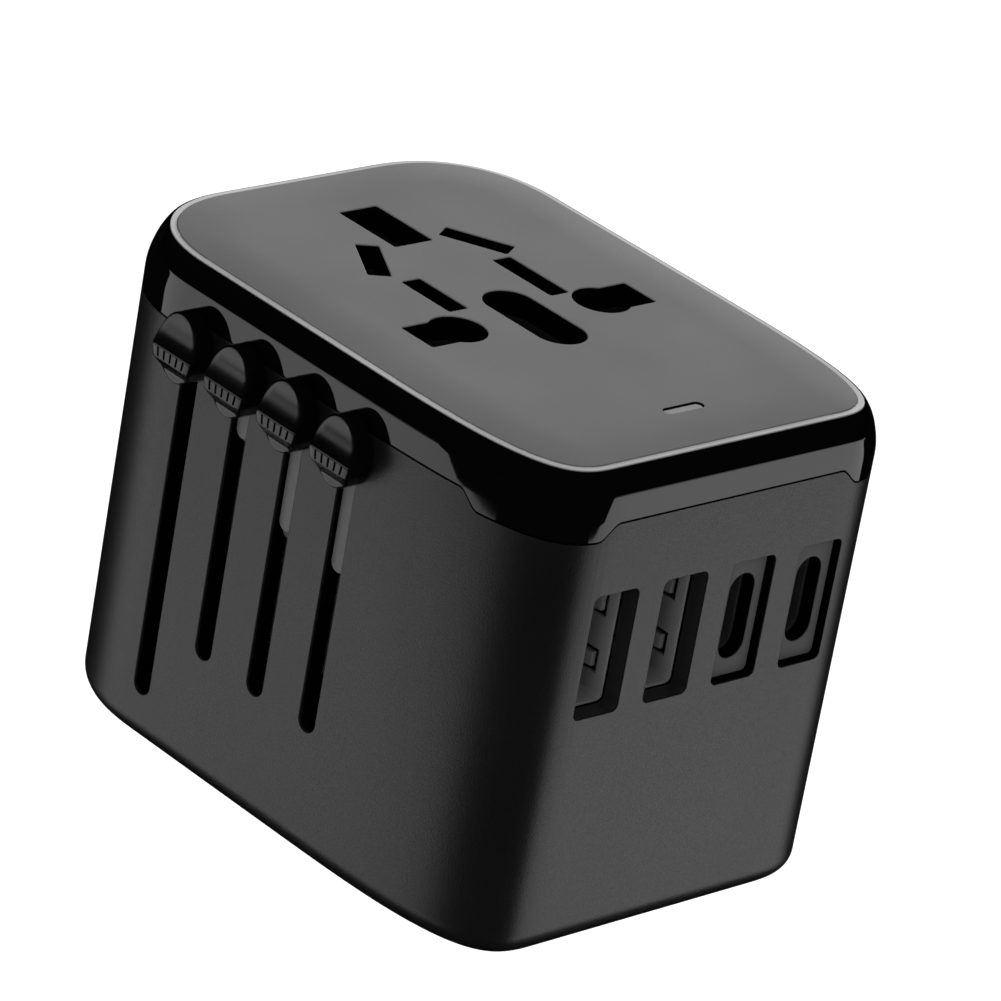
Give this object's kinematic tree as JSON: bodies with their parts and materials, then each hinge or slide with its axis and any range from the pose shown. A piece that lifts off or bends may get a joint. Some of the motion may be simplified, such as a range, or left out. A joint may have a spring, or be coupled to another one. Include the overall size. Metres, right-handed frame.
{
  "type": "universal travel adapter",
  "caption": "Block-shaped mains travel adapter with a multi-standard socket face, sliding plug pins behind side sliders, and an end row of USB charging sockets.",
  "frame": {"origin": "centre of the bounding box, knobs included, at the level of the base face that the plug pins come out of", "axes": "+X towards the USB end, -Y towards the slider face, +Z from the base face up to the socket face; all pins retracted at rest"},
  "size_m": [0.0686, 0.0528, 0.0527],
  "materials": {
    "casing": "fine moulded satin texture",
    "gloss": "high gloss",
    "face_plate": "fine matt texture",
    "inner_plastic": "moulded",
    "light_pipe": "clear moulded",
    "brass": "stamped",
    "screw_steel": "zinc plated",
    "connector_metal": "nickel plated, stamped",
    "board": "solder mask",
    "ferrite": "sintered",
    "capacitor_sleeve": "shrink sleeve",
    "fuse_ceramic": "ceramic tube with metal caps",
    "knob_plastic": "satin gloss",
    "carrier_plastic": "moulded",
    "pin_metal": "nickel plated, bright",
    "pin_plastic": "moulded"
  },
  "bodies": {
    "housing": {"main_casing": "casing", "gloss_collar": "gloss", "socket_face_plate": "face_plate", "contact_deck": "inner_plastic", "led_light_pipe": "light_pipe", "line_contact": "brass", "neutral_contact": "brass", "deck_screw_1": "screw_steel", "deck_screw_2": "screw_steel", "deck_screw_3": "screw_steel", "deck_screw_4": "screw_steel", "usb_a_shell_1": "connector_metal", "usb_a_shell_2": "connector_metal", "usb_a_tongue_1": "inner_plastic", "usb_a_tongue_2": "inner_plastic", "usb_c_bezel_1": "casing", "usb_c_bezel_2": "casing", "usb_c_shell_1": "connector_metal", "usb_c_shell_2": "connector_metal", "usb_c_tongue_1": "inner_plastic", "usb_c_tongue_2": "inner_plastic", "charger_board": "board", "transformer": "ferrite", "mains_capacitor": "capacitor_sleeve", "output_capacitor": "capacitor_sleeve", "fuse_holder": "inner_plastic", "fuse": "fuse_ceramic"},
    "eu_slider": {"eu_knob": "knob_plastic", "eu_carrier": "carrier_plastic", "eu_pin_1": "pin_metal", "eu_pin_2": "pin_metal", "eu_sleeve_1": "inner_plastic", "eu_sleeve_2": "inner_plastic"},
    "eu_face": {"eu_island": "casing"},
    "uk_slider": {"uk_knob": "knob_plastic", "uk_carrier": "carrier_plastic", "uk_pin_line": "pin_metal", "uk_pin_neutral": "pin_metal", "uk_pin_earth": "pin_plastic"},
    "us_slider": {"us_knob": "knob_plastic", "us_carrier": "carrier_plastic", "us_blade_1": "pin_metal", "us_blade_2": "pin_metal"},
    "au_slider": {"au_knob": "knob_plastic", "au_carrier": "carrier_plastic", "au_blade_1": "pin_metal", "au_blade_2": "pin_metal"},
    "fuse_cap_body": {"fuse_cap": "knob_plastic"},
    "fuse_drawer": {"spare_fuse_drawer": "casing", "spare_fuse": "fuse_ceramic"}
  },
  "joints": [
    {"name": "eu_slide", "type": "slide", "parent": "housing", "child": "eu_slider", "axis": [0, 0, -1], "range_m": [0, 0.0365]},
    {"name": "eu_island_slide", "type": "slide", "parent": "housing", "child": "eu_face", "axis": [0, 0, -1], "range_m": [0, 0.0165]},
    {"name": "uk_slide", "type": "slide", "parent": "housing", "child": "uk_slider", "axis": [0, 0, -1], "range_m": [0, 0.0237]},
    {"name": "us_slide", "type": "slide", "parent": "housing", "child": "us_slider", "axis": [0, 0, -1], "range_m": [0, 0.017]},
    {"name": "au_slide", "type": "slide", "parent": "housing", "child": "au_slider", "axis": [0, 0, -1], "range_m": [0, 0.0169]},
    {"name": "fuse_cap_turn", "type": "hinge", "parent": "housing", "child": "fuse_cap_body", "pos_m": [0.0005, 0.00147, 0], "axis": [0, 0, 1], "range_deg": [0, 90]},
    {"name": "fuse_drawer_slide", "type": "slide", "parent": "housing", "child": "fuse_drawer", "axis": [0, 1, 0], "range_m": [0, 0.007]}
  ],
  "couplings": [
    {"joint": "eu_island_slide", "follows": "eu_slide", "ratio": 0.45205}
  ]
}
